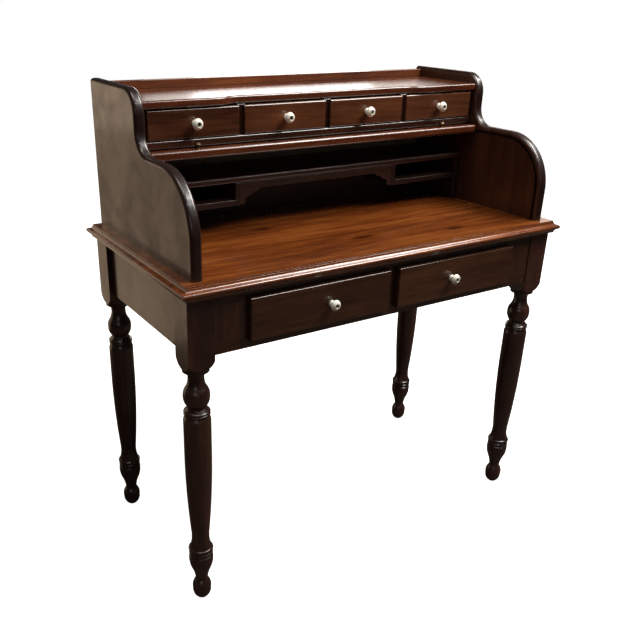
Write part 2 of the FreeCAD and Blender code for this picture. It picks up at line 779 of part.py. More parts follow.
def groove_outline(offset_out, offset_in):
    """Band along the tambour's path, between two offsets from its middle line."""
    nose_middle = from_back(s.nose_front) + s.nose_round
    nose_radius = s.nose_round - s.groove_inside
    nose_level = s.top_height + s.step_top - s.nose_round
    bend_middle = from_back(s.groove_back) - s.groove_bend
    bend_level = groove_level - s.groove_bend
    far = nose_radius + offset_out
    close = nose_radius + offset_in
    bend_far = s.groove_bend + offset_out
    bend_close = s.groove_bend + offset_in
    return [
        (nose_middle - close, s.top_height),
        (nose_middle - close, nose_level),
        (nose_middle, groove_level + offset_in, -close),
        (bend_middle, groove_level + offset_in),
        (bend_middle + bend_close, bend_level, -bend_close),
        (bend_middle + bend_close, s.top_height),
        (bend_middle + bend_far, s.top_height),
        (bend_middle + bend_far, bend_level),
        (bend_middle, groove_level + offset_out, bend_far),
        (nose_middle, groove_level + offset_out),
        (nose_middle - far, nose_level, far),
        (nose_middle - far, s.top_height),
    ]


def make_hutch():
    """Side panels, back, top board with its gallery, and the case for the small drawers."""
    housed = hutch_in + s.housing
    ends = from_back(s.crown_board_front)
    setback = ends + s.crown_setback
    start = s.setback_start
    finish = s.setback_start + s.setback_run
    between = start + s.setback_run / 2
    run = s.setback_run / 2
    rise = s.crown_setback / 2
    curve = (run * run + rise * rise) / (2 * rise)
    half_front = [
        (0, setback),
        (start, setback),
        (between, setback - rise, -curve),
        (finish, ends, curve),
        (housed, ends),
        (housed, arris_rear),
    ]
    left_half = mirrored(half_front, 0)
    top_board = prism("top_board", "XY_Plane", half_front + left_half[:-1], (crown_under, crown_top))
    front_limit = setback + 0.01

    def board_front(box):
        return box.YMax < front_limit.number and near(box.ZMin, box.ZMax) and box.XLength > 1

    rounded(top_board, s.shelf_round, board_front)
    piece(top_board, "top_board")

    case_front = from_back(s.case_front)
    case_board = prism("case_board", "YZ_Plane",
                       rectangle((case_front, back_face), (case_under, case_floor)), (-housed, housed))
    rounded(case_board, s.lip_round, front_edges(case_front))
    piece(case_board, "case_board")

    piece(slab("gallery_rail", (-hutch_in, hutch_in), (arris_rear - s.gallery_thick, arris_rear),
               (crown_top, crown_top + s.gallery_high)), "gallery_rail")
    piece(slab("back_panel", (-hutch_in, hutch_in), (back_face, arris_rear), (s.top_height, crown_under)),
          "back_panel")

    divider_front = from_back(s.divider_front)
    run_y = (divider_front, back_face)
    run_z = (case_floor, crown_under)
    half = s.divider / 2
    dividers = [
        slab("divider_" + str(number + 2), (s.pitch * number - half, s.pitch * number + half), run_y, run_z)
        for number in (-1, 0, 1)
    ]
    dividers.append(slab("left_filler", (-hutch_in, s.end_filler - hutch_in), run_y, run_z))
    dividers.append(slab("right_filler", (hutch_in - s.end_filler, hutch_in), run_y, run_z))
    piece(group("case_dividers", dividers), "case_dividers")

    half_groove = s.groove_wide / 2
    groove_end = hutch_in + s.groove_deep
    band = groove_outline(half_groove, -half_groove)
    groove = prism("tambour_groove", "YZ_Plane", band, (-groove_end, groove_end))
    boards = group("housed_boards", [top_board, case_board])

    def shaped_edge(box):
        on_back = near(box.YMin, arris_rear)
        on_desk = near(box.ZMax, s.top_height)
        return near(box.XMin, box.XMax) and not on_back and not on_desk

    for side, reach in (("left", (-hutch_out, -hutch_in)), ("right", (hutch_in, hutch_out))):
        name = "hutch_side_" + side
        blank = prism(name + "_panel", "YZ_Plane", panel_outline(), reach)
        panel = rounded(blank, s.panel_round, shaped_edge)
        grooved = boolean("Cut", name + "_grooved", panel, groove)
        piece(boolean("Cut", name, grooved, boards), name)


def make_pigeonholes():
    """Low unit on the desk surface: end panels, top shelf, side shelves, hangers and a valance."""
    front = from_back(s.unit_front)
    back = from_back(s.unit_back)
    deep = (front, back)
    out = hutch_in - s.unit_gap
    panel_in = out - s.end_panel
    shelf_under = s.top_height + s.shelf_under
    shelf_top = shelf_under + s.shelf
    low_top = s.top_height + s.low_shelf_top
    low_under = low_top - s.low_shelf
    top_shelf = prism("unit_top_shelf", "YZ_Plane", rectangle(deep, (shelf_under, shelf_top)), (-out, out))
    piece(rounded(top_shelf, s.shelf_round, front_edges(front)), "unit_top_shelf")

    panels = [
        slab("left_end_panel", (-out, -panel_in), deep, (s.top_height, shelf_under)),
        slab("right_end_panel", (panel_in, out), deep, (s.top_height, shelf_under)),
    ]
    piece(group("unit_end_panels", panels), "unit_end_panels")

    half = s.hanger / 2
    place_in = s.hanger_place - half
    place_out = s.hanger_place + half
    hangers = [
        slab("left_hanger", (-place_out, -place_in), deep, (low_under, shelf_under)),
        slab("right_hanger", (place_in, place_out), deep, (low_under, shelf_under)),
    ]
    piece(group("unit_hangers", hangers), "unit_hangers")
    shelves = [
        slab("left_low_shelf", (-panel_in, -place_out), deep, (low_under, low_top)),
        slab("right_low_shelf", (place_out, panel_in), deep, (low_under, low_top)),
    ]
    piece(group("unit_low_shelves", shelves), "unit_low_shelves")

    middle_edge = shelf_under - 15
    step_edge = shelf_under - 22
    slope_end = shelf_under - 33
    tip = low_under + 2
    right = [
        (place_in - 52, middle_edge),
        (place_in - 50, middle_edge - 3, 4),
        (place_in - 46, step_edge, -6),
        (place_in - 36, step_edge),
        (place_in - 16, slope_end, 26),
        (place_in - 14, slope_end - 2),
        (place_in - 13, tip + 2),
        (place_in - 10, tip),
        (place_in, tip),
        (place_in, shelf_under),
    ]
    valance_front = front + 1
    valance_run = (valance_front, valance_front + s.valance)
    piece(prism("unit_valance", "XZ_Plane", right + mirrored(right, 0), valance_run), "unit_valance")
    back_run = (back, back + s.unit_back_thick)
    piece(slab("unit_back", (-out, out), back_run, (s.top_height, shelf_top)), "unit_back")


# ---------------------------------------------------------------- tambour, in its open position

def make_slat_form():
    """One slat at the origin, flat on its canvas side, with a tongue at each end."""
    length = hutch_in - s.tambour_gap
    half_wide = s.slat_wide / 2
    edge = s.slat_edge - s.slat_thick / 2
    rise = s.slat_thick - s.slat_edge
    crown = (half_wide * half_wide + rise * rise) / (2 * rise)
    under = -s.slat_thick / 2
    body = prism("slat_body", "YZ_Plane", [
        (-half_wide, under),
        (half_wide, under),
        (half_wide, edge),
        (-half_wide, edge, crown),
    ], (-length, length))
    tongue_end = hutch_in + s.groove_deep - s.tongue_gap
    half_tongue = s.tongue_wide / 2
    half_thick = s.tongue_thick / 2
    tongue_deep = (-half_tongue, half_tongue)
    tongue = slab("slat_tongue", (-tongue_end, tongue_end), tongue_deep, (-half_thick, half_thick))
    return boolean("Fuse", "slat_form", body, tongue)


def slat_at(form, name, along, height, tilt):
    """A copy of the slat; its place follows from the tambour's path."""
    link = doc.addObject("App::Link", name)
    link.LinkedObject = form
    link.LinkTransform = False
    link.Placement = Placement(Vector(0, along, height), Rotation(Vector(1, 0, 0), tilt))
    return link


def make_tambour():
    """Lead rail, pulls, slats and canvas; the tail goes round the rear bend and down."""
    form = make_slat_form()
    lead_front = from_back(s.lead_front)
    lead_back = lead_front + s.lead_deep
    slat_under = groove_level - s.slat_thick / 2
    lead_up = (slat_under, slat_under + s.lead_thick)
    length = hutch_in - s.tambour_gap
    section = rectangle((lead_front, lead_back), lead_up)
    lead_rail = prism("lead_rail_bar", "YZ_Plane", section, (-length, length))
    rounded(lead_rail, s.lead_round, front_edges(lead_front))
    tongue_end = hutch_in + s.groove_deep - s.tongue_gap
    half_tongue = s.tongue_thick / 2
    tongue_deep = (lead_front + s.lead_round, lead_back - 1)
    lead_tongue = slab("lead_rail_tongue", (-tongue_end, tongue_end), tongue_deep,
                       (groove_level - half_tongue, groove_level + half_tongue))
    piece(boolean("Fuse", "tambour_lead_rail", lead_rail, lead_tongue), "tambour_lead_rail")

    pull_foot = s.pull_wide / 2
    pull_y = lead_front + pull_foot + s.lead_round * 0.4
    pulls = []
    for side, sign in (("left", -1), ("right", 1)):
        pull = turned(side + "_pull", "XZ_Plane", "V_Axis", [
            (0, 0),
            (pull_foot * 0.7, 0),
            (pull_foot * 0.55, s.pull_high * 0.35, -7),
            (pull_foot, s.pull_high * 0.7, 6),
            (pull_foot * 0.45, s.pull_high, 6.5),
            (0, s.pull_high),
        ])
        pulls.append(place(pull, sign * s.pull_place, pull_y, lead_up[1]))
    piece(group("tambour_pulls", pulls), "tambour_pulls")

    first = lead_back + s.slat_pitch / 2
    straight = [
        slat_at(form, "straight_slat_" + str(number + 1), (first + s.slat_pitch * number).number,
                groove_level.number, 0)
        for number in range(STRAIGHT_SLATS)
    ]
    piece(group("tambour_slats", straight), "tambour_slats")
    canvas_end = lead_back + s.slat_pitch * STRAIGHT_SLATS
    piece(slab("tambour_canvas", (-length, length), (lead_front + s.lead_round, canvas_end - s.fit_gap),
               (slat_under - s.canvas, slat_under)), "tambour_canvas")

    bend_middle = from_back(s.groove_back) - s.groove_bend
    bend_level = groove_level - s.groove_bend
    canvas_radius = s.groove_bend - s.slat_thick / 2
    quarter = canvas_radius.number * math.pi / 2
    tail = []
    for number in range(TAIL_SLATS):
        travelled = (number + 0.5) * s.slat_pitch.number
        on_bend = min(travelled, quarter)
        turn = on_bend / canvas_radius.number
        along = bend_middle.number + s.groove_bend.number * math.sin(turn)
        height = bend_level.number + s.groove_bend.number * math.cos(turn) - (travelled - on_bend)
        tail.append(slat_at(form, "tail_slat_" + str(number + 1), along, height, -math.degrees(turn)))
    piece(group("tambour_tail_slats", tail), "tambour_tail_slats")

    outer = canvas_radius
    inner = canvas_radius - s.canvas
    tail_foot = s.top_height + s.slat_thick / 2
    piece(prism("tambour_tail_canvas", "YZ_Plane", [
        (bend_middle, bend_level + inner),
        (bend_middle + inner, bend_level, -inner),
        (bend_middle + inner, tail_foot),
        (bend_middle + outer, tail_foot),
        (bend_middle + outer, bend_level),
        (bend_middle, bend_level + outer, outer),
    ], (-length, length)), "tambour_tail_canvas")


# ---------------------------------------------------------------- build, test and write

make_frame()
make_desk_top(make_inner_frame())
make_drawers()
make_hutch()
make_pigeonholes()
make_tambour()
doc.recompute()

for item in doc.Objects:
    if "Invalid" in item.State or "Error" in item.State:
        raise RuntimeError(item.Name + " did not build: " + str(item.State))

names = [item.Label for item in pieces]
if len(set(names)) != len(names) or len(names) > 60:
    raise RuntimeError("sub-part names repeat or are too many: " + str(len(names)))

os.makedirs("parts", exist_ok=True)
for item in pieces:
    shape = item.Shape
    if shape.isNull() or not shape.isValid() or not shape.Solids:
        raise RuntimeError(item.Label + " has no valid solid")
for item in pieces:
    item.Shape.exportStep(os.path.join("parts", item.Label + ".step"))
print("wrote", len(pieces), "sub-parts")
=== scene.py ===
import json
import math
import bmesh
import bpy
from mathutils import Matrix, Vector


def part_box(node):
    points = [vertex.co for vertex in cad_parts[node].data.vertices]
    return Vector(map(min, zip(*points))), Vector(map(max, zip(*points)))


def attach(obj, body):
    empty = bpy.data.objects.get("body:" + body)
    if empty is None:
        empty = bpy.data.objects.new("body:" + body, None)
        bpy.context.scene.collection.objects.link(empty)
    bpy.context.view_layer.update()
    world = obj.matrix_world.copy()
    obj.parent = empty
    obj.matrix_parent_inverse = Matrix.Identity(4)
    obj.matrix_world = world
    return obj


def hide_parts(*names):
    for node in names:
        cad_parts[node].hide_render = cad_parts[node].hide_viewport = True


# Roll top desk: dark stained, lacquered wood with porcelain knobs. Metres, in the CAD frame.

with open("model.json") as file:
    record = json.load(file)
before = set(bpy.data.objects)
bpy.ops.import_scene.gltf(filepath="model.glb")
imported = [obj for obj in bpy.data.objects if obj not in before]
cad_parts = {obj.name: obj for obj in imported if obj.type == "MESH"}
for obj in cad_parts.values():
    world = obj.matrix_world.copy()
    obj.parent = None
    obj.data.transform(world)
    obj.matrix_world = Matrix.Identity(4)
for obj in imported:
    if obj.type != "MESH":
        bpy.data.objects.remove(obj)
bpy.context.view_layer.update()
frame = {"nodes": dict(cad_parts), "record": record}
nodes = frame["nodes"]
bodies = frame["record"]["behaviour"]["bodies"]
body_of_node = {node: body for body, members in bodies.items() for node in members}

DESK_DRAWERS = ("desk_drawer_left", "desk_drawer_right")
SMALL_DRAWERS = tuple("small_drawer_" + str(number) for number in range(1, 5))


# ---------------------------------------------------------------- shader building

def add(tree, kind, settings=None, **inputs):
    """One shader node. An input is a number, colour or vector, or another node's output.

    Inputs go by name, with _ for a space, or by number as i0, i1 and so on.
    """
    made = tree.nodes.new("ShaderNode" + kind)
    for name, value in (settings or {}).items():
        setattr(made, name, value)
    for name, value in inputs.items():
        by_number = name[0] == "i" and name[1:].isdigit()
        socket = made.inputs[int(name[1:]) if by_number else name.replace("_", " ")]
        if isinstance(value, bpy.types.NodeSocket):
            tree.links.new(value, socket)
        else:
            socket.default_value = value
    return made


def calc(tree, operation, first, second=0.0, third=0.0, clamp=False):
    """Output of one Math node."""
    settings = {"operation": operation, "use_clamp": clamp}
    return add(tree, "Math", settings, i0=first, i1=second, i2=third).outputs[0]


def spread(tree, value, low, high, to_low=0.0, to_high=1.0):
    """Map a range smoothly to another one."""
    settings = {"interpolation_type": "SMOOTHSTEP"}
    made = add(tree, "MapRange", settings, Value=value, From_Min=low, From_Max=high,
               To_Min=to_low, To_Max=to_high)
    return made.outputs[0]


def blend_colours(tree, factor, first, second, mode="MIX"):
    """Mix of two colours; a Mix node's colours are its inputs 6 and 7 and its output 2."""
    settings = {"data_type": "RGBA", "blend_type": mode}
    return add(tree, "Mix", settings, i0=factor, i6=first, i7=second).outputs[2]


def noise(tree, vector, scale, detail=3.0, roughness=0.5, distortion=0.0):
    """Height of a noise texture, 0.5 on average."""
    made = add(tree, "TexNoise", None, Vector=vector, Scale=scale, Detail=detail,
               Roughness=roughness, Distortion=distortion)
    return made.outputs["Fac"]


def around_zero(tree, value):
    """A texture whose middle is 0.5, moved so that its middle is 0."""
    return calc(tree, "SUBTRACT", value, 0.5)


def ramp(tree, factor, *stops):
    """Colour ramp through (position, colour) stops."""
    made = add(tree, "ValToRGB", None, Fac=factor)
    elements = made.color_ramp.elements
    while len(elements) < len(stops):
        elements.new(0.5)
    for element, (position, colour) in zip(elements, stops):
        element.position = position
        element.color = colour
    return made.outputs["Color"]


def new_material(name):
    """Material without any nodes, and its tree."""
    material = bpy.data.materials.new(name)
    material.use_nodes = True
    material.node_tree.nodes.clear()
    return material, material.node_tree


def finish_material(tree, shader):
    """Put the shader on the material's surface."""
    output = add(tree, "OutputMaterial", None, Surface=shader)
    output.is_active_output = True


def bumpy(tree, height, strength, distance):
    """Normal of a surface with small relief."""
    return add(tree, "Bump", None, Strength=strength, Distance=distance, Height=height).outputs[0]


def occlusion(tree, distance):
    """1 in the open, towards 0 in crevices narrower than the distance."""
    return add(tree, "AmbientOcclusion", {"samples": 4}, Distance=distance).outputs["AO"]


def object_place(tree):
    """Position in the piece's own space."""
    return add(tree, "TexCoord").outputs["Object"]


def rgb(red, green, blue):
    """Opaque colour."""
    return (red, green, blue, 1.0)


# ---------------------------------------------------------------- wood

LOG_STEP = (3.1, 0.83, 0.57)    # how far apart in the texture the boards of different pieces lie
EDGE_REACH = 0.0015             # width of a worn wooden edge
CREVICE_REACH = 0.012           # width of the crevices that take painted shade

# Detail of the wood per metre, first along the grain and then across it.
STREAKS = (1.5, 34.0)
FLECKS = (10.0, 125.0)
FIBRES = (9.0, 520.0)
PORES = (30.0, 900.0)
CLOUDS = (2.6, 7.0)
PATCHES = (24.0, 24.0)
PITH_WANDER = (1.3, 4.0)
PITH_DRIFT = (2.2, 9.0)


def moved_by(tree, vector, operation, amount):
    """Output of one Vector Math node with two inputs."""
    return add(tree, "VectorMath", {"operation": operation}, i0=vector, i1=amount).outputs[0]


def grain_vector(tree, along, shift):
    """Position in a board: first along its grain, then the two ways across it, in its own log."""
    random = add(tree, "ObjectInfo").outputs["Random"]
    parts = add(tree, "SeparateXYZ", None, Vector=object_place(tree)).outputs
    first, second, third = {"X": "XYZ", "Y": "YXZ", "Z": "ZXY"}[along]
    turned = add(tree, "CombineXYZ", None, X=parts[first], Y=parts[second], Z=parts[third])
    own = add(tree, "VectorMath", {"operation": "SCALE"}, i0=LOG_STEP, Scale=random)
    moved = moved_by(tree, turned.outputs[0], "ADD", own.outputs[0])
    return moved_by(tree, moved, "ADD", shift)


def stretched(tree, vector, along, across):
    """Texture space that runs slowly along the grain and fast across it."""
    return moved_by(tree, vector, "MULTIPLY", (along, across, across))


def edge_mask(tree, reach):
    """1 on edges and corners, 0 on flat faces."""
    bevel = add(tree, "Bevel", {"samples": 6}, Radius=reach).outputs[0]
    normal = add(tree, "NewGeometry").outputs["Normal"]
    product = add(tree, "VectorMath", {"operation": "DOT_PRODUCT"}, i0=bevel, i1=normal)
    return spread(tree, product.outputs["Value"], 0.99, 0.80)


def spot(tree, place, streaks, centre, size):
    """Ragged mask of one small mark at a place."""
    ragged = 1.6
    scaled = moved_by(tree, moved_by(tree, place, "SUBTRACT", centre), "DIVIDE", size)
    reach = add(tree, "VectorMath", {"operation": "LENGTH"}, i0=scaled).outputs["Value"]
    wobble = calc(tree, "MULTIPLY", around_zero(tree, streaks), ragged)
    return spread(tree, calc(tree, "ADD", reach, wobble), 1.0, 0.2)


def squared(tree, value):
    """A value times itself."""
    return calc(tree, "POWER", value, 2.0)


def growth_rings(tree, vector, rings):
    """Dark latewood lines round a pith that wanders along the board: so many rings per metre."""
    wander_depth, wander_side = 0.16, 0.09
    wander = noise(tree, stretched(tree, vector, *PITH_WANDER), 1.0, 2.0)
    drift = noise(tree, stretched(tree, vector, *PITH_DRIFT), 1.0, 3.0, 0.55)
    parts = add(tree, "SeparateXYZ", None, Vector=vector).outputs
    depth = calc(tree, "MULTIPLY_ADD", wander, wander_depth, parts["Z"])
    side = calc(tree, "MULTIPLY_ADD", drift, wander_side, parts["Y"])
    radius = calc(tree, "SQRT", calc(tree, "ADD", squared(tree, depth), squared(tree, side)))
    ring = calc(tree, "FRACT", calc(tree, "MULTIPLY", radius, rings))
    return calc(tree, "MULTIPLY", spread(tree, ring, 0.15, 0.90), spread(tree, ring, 1.0, 0.93))


def facing(tree, axis):
    """1 on surfaces that face along an axis of the piece, 0 on those beside it."""
    normal = add(tree, "SeparateXYZ", None, Vector=add(tree, "TexCoord").outputs["Normal"])
    return calc(tree, "ABSOLUTE", normal.outputs[axis])


def wood_tone(tree, vector, streaks, fibres, rings, ring_depth, blotch):
    """How light the stain is from place to place: streaks, flecks, rings, blotches and fibres."""
    streak_weight, base = 0.75, 0.04
    flecks = noise(tree, stretched(tree, vector, *FLECKS), 1.0, 4.0, 0.6, 0.2)
    cloud = noise(tree, stretched(tree, vector, *CLOUDS), 1.0, 4.0, 0.6, 0.5)
    board = add(tree, "ObjectInfo").outputs["Random"]
    tone = calc(tree, "MULTIPLY_ADD", streaks, streak_weight, base)
    tone = calc(tree, "MULTIPLY_ADD", growth_rings(tree, vector, rings), -ring_depth, tone)
    for texture, weight in ((flecks, 0.45), (cloud, blotch), (fibres, 0.22), (board, 0.26)):
        tone = calc(tree, "MULTIPLY_ADD", around_zero(tree, texture), weight, tone)
    return tone


def stained(tree, colour, stain, streaks, pore_mask, knots):
    """Colour with the darkest stain in its pores and knots."""
    in_pores, in_knots = 0.4, 0.8
    dark = stain[0]
    colour = blend_colours(tree, calc(tree, "MULTIPLY", pore_mask, in_pores), colour, dark)
    place = object_place(tree)
    for centre, size in knots:
        mark = calc(tree, "MULTIPLY", spot(tree, place, streaks, centre, size), in_knots)
        colour = blend_colours(tree, mark, colour, dark)
    return colour


def deepened_ends(tree, colour, along, dark_ends, dark_across):
    """Colour with a deeper stain on end grain, and on what doesn't face along dark_across."""
    deepened = blend_colours(tree, 1.0, colour, rgb(0.35, 0.30, 0.30), "MULTIPLY")
    end_grain = spread(tree, facing(tree, along), 0.45, 0.9)
    colour = blend_colours(tree, calc(tree, "MULTIPLY", end_grain, dark_ends), colour, deepened)
    if dark_across:
        turned = spread(tree, facing(tree, dark_across), 0.9, 0.5)
        colour = blend_colours(tree, turned, colour, deepened)
    return colour


def grimed(tree, colour):
    """Colour darkened by painted shade in the crevices between pieces."""
    # Painted shade: ambient occlusion darkens the colour in narrow crevices.
    crevice_shade = spread(tree, occlusion(tree, CREVICE_REACH), 0.10, 0.60, 0.55, 1.0)
    shade_tint = add(tree, "CombineColor", None, Red=crevice_shade, Green=crevice_shade, Blue=crevice_shade).outputs[0]
    return blend_colours(tree, 1.0, colour, shade_tint, "MULTIPLY")


def worn_edges(tree, vector):
    """Mask of the places where the finish is rubbed off the edges."""
    patches = noise(tree, stretched(tree, vector, *PATCHES), 1.0, 3.0, 0.6)
    return calc(tree, "MULTIPLY", edge_mask(tree, EDGE_REACH), spread(tree, patches, 0.50, 0.68))


def lacquered(tree, colour, normal, smudges, worn, gloss, rough, haze, blur):
    """Wood under a coat whose gloss and roughness vary in smudges."""
    smudge_range, smudge_start, worn_rougher = 0.24, 0.10, 0.15
    roughness = calc(tree, "MULTIPLY_ADD", smudges, smudge_range, rough - smudge_start)
    roughness = calc(tree, "MULTIPLY_ADD", worn, worn_rougher, roughness)
    coat = spread(tree, smudges, 0.32, 0.68, gloss * (1.0 + haze / 2), gloss * (1.0 - haze))
    return add(tree, "BsdfPrincipled", None, Base_Color=colour, Roughness=roughness, IOR=1.5,
               Coat_Weight=coat, Coat_Roughness=blur, Coat_IOR=1.5, Normal=normal).outputs[0]


def wood_relief(tree, vector, fibres, pore_mask):
    """Normal of the coat: it swells a little, follows the fibres and sinks into the pores."""
    swell_high, fibre_high, pore_deep = 0.9, 0.22, -0.25
    swell = noise(tree, vector, 38.0, 2.0, 0.5)
    fine = calc(tree, "MULTIPLY", fibres, fibre_high)
    relief = calc(tree, "MULTIPLY_ADD", swell, swell_high, fine)
    relief = calc(tree, "MULTIPLY_ADD", pore_mask, pore_deep, relief)
    return bumpy(tree, relief, 0.25, 0.0004)


def wood(name, along, stain, shift=(0.0, 0.0, 0.0), rings=62.0, ring_depth=0.05, gloss=0.8,
         rough=0.24, edge_colour=None, knots=(), blotch=0.6, dark_across=None, dark_ends=0.8,
         haze=0.2, blur=0.07, wear=0.3):
    """Stained, lacquered wood: faint growth rings, fibres, pores, blotchy stain and worn edges.

    stain is its dark, middle and light colour. dark_across names an axis; surfaces that don't
    face along it take a darker stain. haze is how far the lacquer's gloss varies from place to
    place, blur how soft its reflections are, wear how bare its edges are.
    """
    material, tree = new_material(name)
    vector = grain_vector(tree, along, shift)
    streaks = noise(tree, stretched(tree, vector, *STREAKS), 1.0, 6.0, 0.68, 0.3)
    fibres = noise(tree, stretched(tree, vector, *FIBRES), 1.0, 3.0, 0.7)
    pores = noise(tree, stretched(tree, vector, *PORES), 1.0, 1.0, 0.4)
    pore_mask = spread(tree, pores, 0.64, 0.70)

    dark, middle, light = stain
    tone = wood_tone(tree, vector, streaks, fibres, rings, ring_depth, blotch)
    colour = ramp(tree, tone, (0.10, dark), (0.42, middle), (0.72, light))
    colour = stained(tree, colour, stain, streaks, pore_mask, knots)
    # The outer call adds painted shade in the crevices, from ambient occlusion.
    colour = grimed(tree, deepened_ends(tree, colour, along, dark_ends, dark_across))
    worn = worn_edges(tree, vector)
    bare = calc(tree, "MULTIPLY", worn, wear)
    colour = blend_colours(tree, bare, colour, edge_colour or light)

    smudges = noise(tree, vector, 11.0, 6.0, 0.68, 0.6)
    normal = wood_relief(tree, vector, fibres, pore_mask)
    finish_material(tree, lacquered(tree, colour, normal, smudges, worn, gloss, rough, haze, blur))
    return material


# Stains, from the shadowed latewood to the light earlywood.
TOP_STAIN = (rgb(0.036, 0.006, 0.0015), rgb(0.165, 0.039, 0.0068), rgb(0.330, 0.100, 0.019))
SHELF_STAIN = (rgb(0.036, 0.007, 0.002), rgb(0.115, 0.028, 0.009), rgb(0.200, 0.060, 0.020))
CASE_STAIN = (rgb(0.012, 0.0033, 0.0017), rgb(0.037, 0.0112, 0.0055), rgb(0.077, 0.026, 0.012))
# The pigeonhole unit's stain is the case stain made darker: painted shade for the unit deep in the
# recess.
UNIT_SHADED_STAIN = (rgb(0.008, 0.002, 0.001), rgb(0.026, 0.008, 0.0035), rgb(0.052, 0.017, 0.007))
DRAWER_STAIN = (rgb(0.017, 0.0045, 0.0018), rgb(0.052, 0.0165, 0.006), rgb(0.110, 0.040, 0.014))
SMALL_DRAWER_STAIN = (rgb(0.036, 0.010, 0.0045), rgb(0.110, 0.034, 0.013), rgb(0.200, 0.070, 0.026))
LEG_STAIN = (rgb(0.012, 0.0033, 0.0020), rgb(0.032, 0.0095, 0.0055), rgb(0.078, 0.026, 0.014))
BACK_STAIN = (rgb(0.018, 0.006, 0.003), rgb(0.045, 0.017, 0.008), rgb(0.085, 0.036, 0.017))
RAW_WOOD = (rgb(0.300, 0.165, 0.075), rgb(0.470, 0.290, 0.150), rgb(0.600, 0.400, 0.225))
BARE_EDGE = rgb(0.200, 0.075, 0.028)


def wood_family(name, stain, axes, **options):
    """One material for each grain direction."""
    return {axis: wood(name + "_" + axis.lower(), axis, stain, **options) for axis in axes}


# Small dark knots in the writing surface: the place of each, and the size of its mark.
top_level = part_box("desk_top")[1].z
KNOTS = (
    ((-0.171, 0.032, top_level), (0.040, 0.016, 0.02)),
    ((-0.007, -0.131, top_level), (0.042, 0.015, 0.02)),
    ((0.232, -0.176, top_level), (0.036, 0.014, 0.02)),
)

top_wood = wood("top_wood", "X", TOP_STAIN, shift=(0.0, 0.31, 0.05), rings=48.0, ring_depth=0.09,
                knots=KNOTS, edge_colour=BARE_EDGE, dark_ends=0.4)
shelf_wood = wood("shelf_wood", "X", SHELF_STAIN, edge_colour=BARE_EDGE, blur=0.17)
case_wood = wood_family("case_wood", CASE_STAIN, "XYZ", edge_colour=BARE_EDGE)
# Painted shade: the unit's boards take the darker stain because the recess lies in shade.
unit_shaded_wood = wood_family("unit_shaded_wood", UNIT_SHADED_STAIN, "XY", edge_colour=BARE_EDGE, gloss=0.35,
                        rough=0.4, blur=0.2)
rail_wood = wood("rail_wood", "X", TOP_STAIN, shift=(0.0, 0.1, 0.2), edge_colour=BARE_EDGE,
                 gloss=0.35, rough=0.38)
side_wood = wood("side_wood", "Z", CASE_STAIN, edge_colour=BARE_EDGE, dark_across="X", gloss=0.65,
                 rough=0.34, haze=0.5, blur=0.14, wear=0.8)
drawer_wood = wood("drawer_wood", "X", DRAWER_STAIN, rings=55.0, edge_colour=BARE_EDGE,
                   dark_ends=0.3)
small_drawer_wood = wood("small_drawer_wood", "X", SMALL_DRAWER_STAIN, shift=(0.4, 0.2, 0.1),
                         edge_colour=BARE_EDGE, dark_ends=0.3)
leg_wood = wood("leg_wood", "Z", LEG_STAIN, rings=70.0, gloss=0.85, rough=0.3,
                edge_colour=BARE_EDGE, blotch=1.1, haze=0.5, blur=0.15)
back_wood = wood_family("back_wood", BACK_STAIN, "XZ", gloss=0.15, rough=0.45)
raw_wood = wood_family("raw_wood", RAW_WOOD, "XY", gloss=0.0, rough=0.58)


# ---------------------------------------------------------------- other materials

def porcelain():
    """White glaze over china, a little uneven, with faint crazing and painted shade in the joints.
    """
    material, tree = new_material("porcelain_glaze")
    place = object_place(tree)
    cloud = noise(tree, place, 90.0, 3.0, 0.6)
    colour = ramp(tree, cloud, (0.30, rgb(0.92, 0.87, 0.72)), (0.65, rgb(0.98, 0.95, 0.84)))
    cells = add(tree, "TexVoronoi", {"feature": "DISTANCE_TO_EDGE"}, Vector=place, Scale=420.0)
    crazing = calc(tree, "MULTIPLY", spread(tree, cells.outputs["Distance"], 0.03, 0.0), 0.10)
    colour = blend_colours(tree, crazing, colour, rgb(0.40, 0.33, 0.24))
    # Painted shade in the joints and hollows, from ambient occlusion.
    crevice_shade = spread(tree, occlusion(tree, 0.004), 0.5, 0.1, 0.0, 0.5)
    colour = blend_colours(tree, crevice_shade, colour, rgb(0.30, 0.24, 0.17))
    roughness = calc(tree, "ADD", 0.10, calc(tree, "MULTIPLY", cloud, 0.12))
    shader = add(tree, "BsdfPrincipled", None, Base_Color=colour, Roughness=roughness, IOR=1.55,
                 Coat_Weight=0.6, Coat_Roughness=0.04, Subsurface_Weight=0.15,
                 Subsurface_Scale=0.004, Normal=bumpy(tree, cloud, 0.15, 0.0003))
    finish_material(tree, shader.outputs[0])
    return material


def aged_metal(name, dark, bright, rough):
    """Metal darkened by age, brighter where it is rubbed."""
    material, tree = new_material(name)
    tarnish = noise(tree, object_place(tree), 260.0, 4.0, 0.65)
    rubbed_edge = calc(tree, "MULTIPLY", edge_mask(tree, 0.0006), 0.5)
    rubbed = calc(tree, "ADD", spread(tree, tarnish, 0.45, 0.68), rubbed_edge, clamp=True)
    colour = blend_colours(tree, rubbed, dark, bright)
    roughness = calc(tree, "ADD", rough, calc(tree, "MULTIPLY", tarnish, 0.22))
    shader = add(tree, "BsdfPrincipled", None, Base_Color=colour, Metallic=0.9,
                 Roughness=roughness, Normal=bumpy(tree, tarnish, 0.3, 0.0002))
    finish_material(tree, shader.outputs[0])
    return material


CANVAS_THREAD = 0.0016      # spacing of the threads


